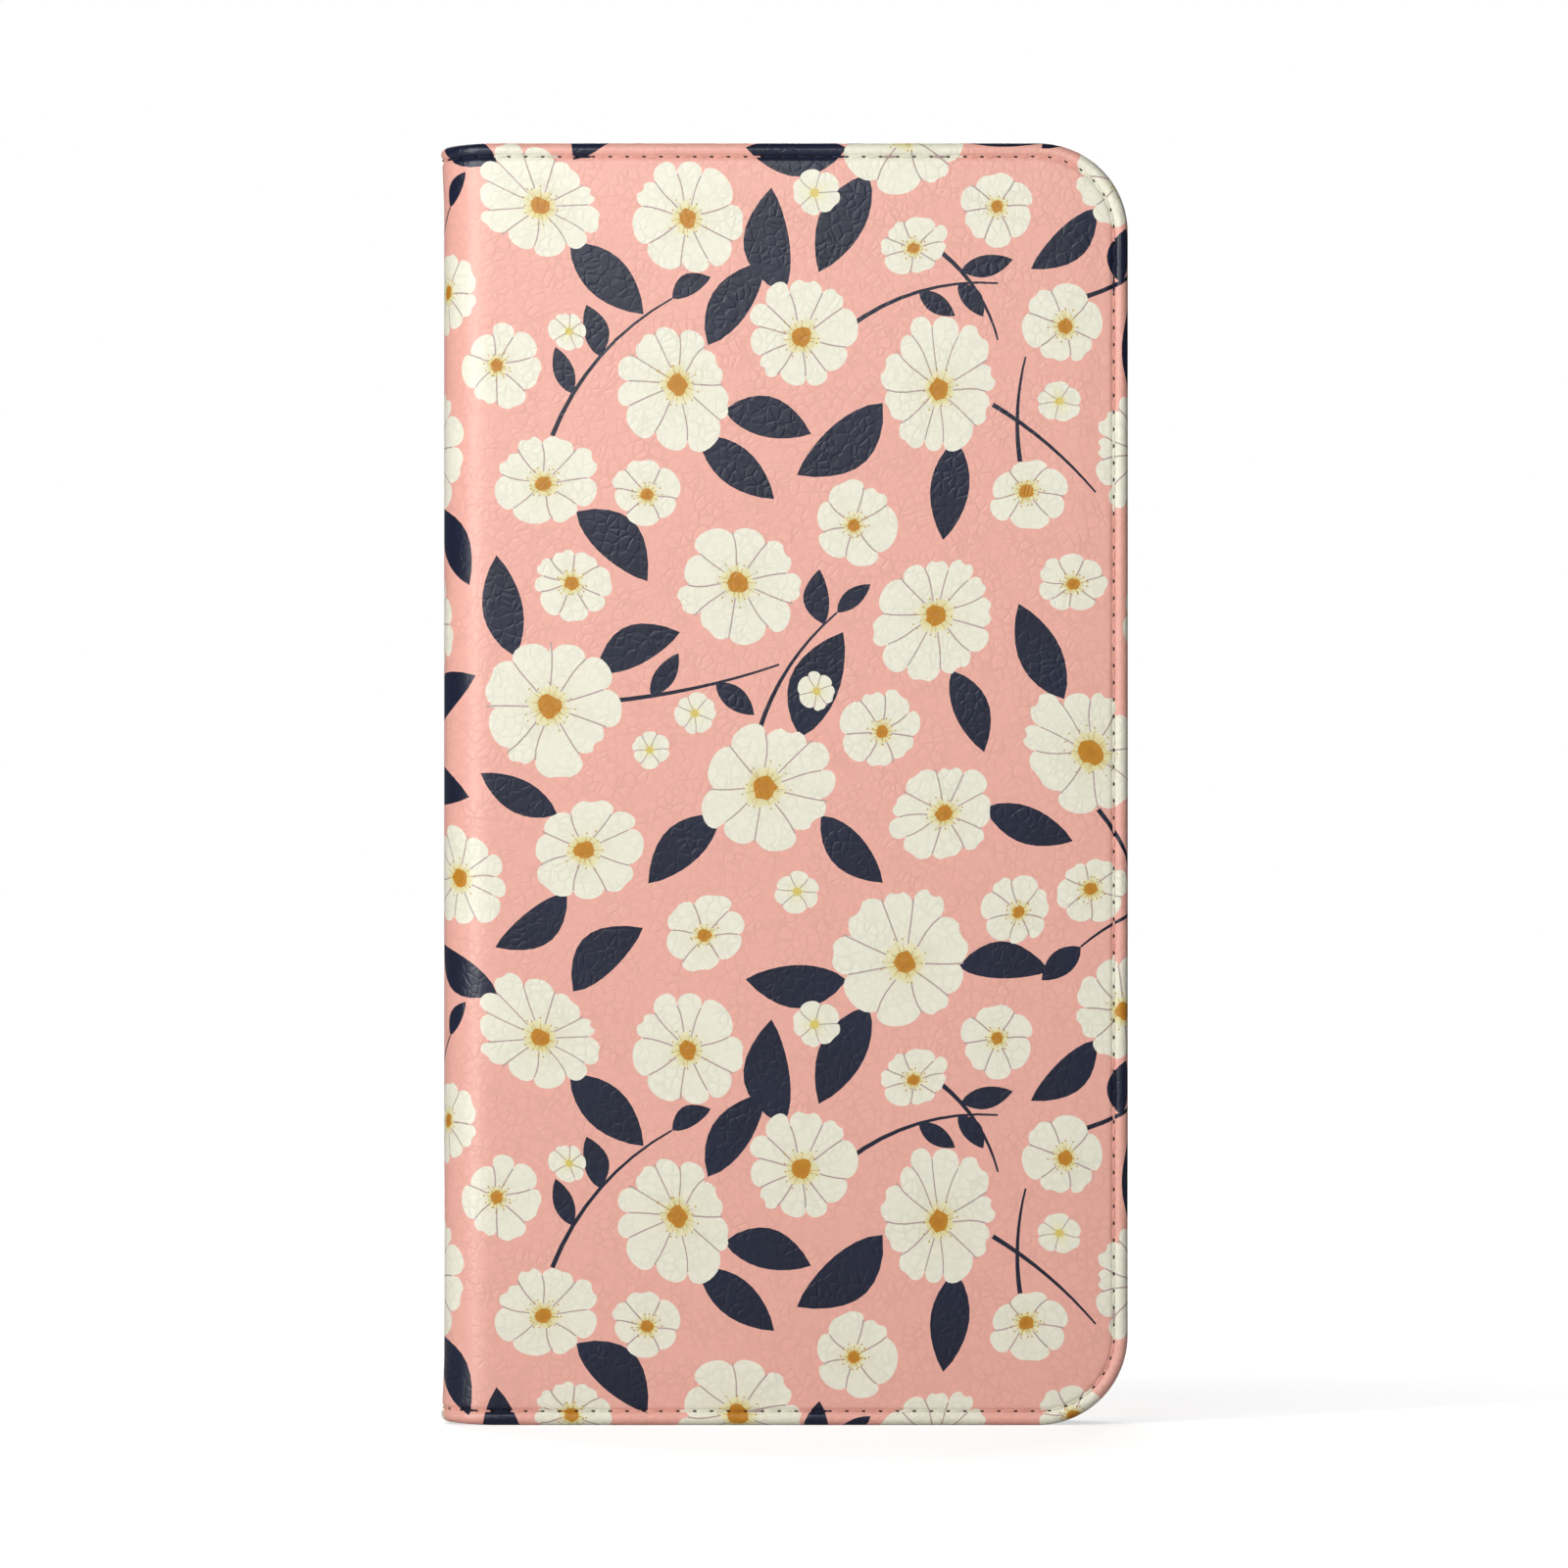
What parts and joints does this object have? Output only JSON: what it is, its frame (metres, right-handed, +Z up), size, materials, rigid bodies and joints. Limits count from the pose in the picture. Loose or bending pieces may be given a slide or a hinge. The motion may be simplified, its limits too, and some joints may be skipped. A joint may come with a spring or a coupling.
{
  "type": "wallet folio phone case",
  "caption": "Closed book-style wallet phone case in a flower-printed leather cover with a stitched rim, a folding spine, card pockets and a snap-in phone tray.",
  "frame": {"origin": "middle of the closed case's bottom edge, at the height it stands on", "axes": "+X from the spine to the free edge, +Y from the front cover to the back cover, +Z up the phone"},
  "size_m": [0.0886, 0.017, 0.165],
  "materials": {
    "printed_leather": "pebbled, printed with cream and navy flowers and leaves on pink",
    "board": "plain grey board",
    "lining": "short black microfibre",
    "pocket_leather": "smooth black",
    "magnet": "nickel plated",
    "outer_thread": "twisted thread, printed over with the cover",
    "inner_thread": "twisted black thread",
    "adhesive": "thin foam tape",
    "tray": "fine satin texture",
    "keeper_steel": "plain strip"
  },
  "bodies": {
    "back_cover": {"back_leather": "printed_leather", "back_board": "board", "back_lining": "lining", "back_stitching": "outer_thread", "tray_adhesive": "adhesive", "phone_tray": "tray", "keeper_bars": "keeper_steel"},
    "spine": {"spine_leather": "printed_leather", "spine_board": "board", "spine_lining": "lining", "spine_stitching": "outer_thread"},
    "front_cover": {"front_leather": "printed_leather", "front_board": "board", "front_lining": "lining", "cash_pocket": "pocket_leather", "card_pocket_inner": "pocket_leather", "card_pocket_middle": "pocket_leather", "card_pocket_outer": "pocket_leather", "front_magnets": "magnet", "front_stitching": "outer_thread", "pocket_stitching": "inner_thread"}
  },
  "joints": [
    {"name": "back_hinge", "type": "hinge", "parent": "back_cover", "child": "spine", "pos_m": [-0.04425, 0.0085, 0.0825], "axis": [0, 0, -1], "range_deg": [0, 175]},
    {"name": "front_hinge", "type": "hinge", "parent": "spine", "child": "front_cover", "pos_m": [-0.04425, -0.0085, 0.0825], "axis": [0, 0, -1], "range_deg": [0, 175]}
  ]
}
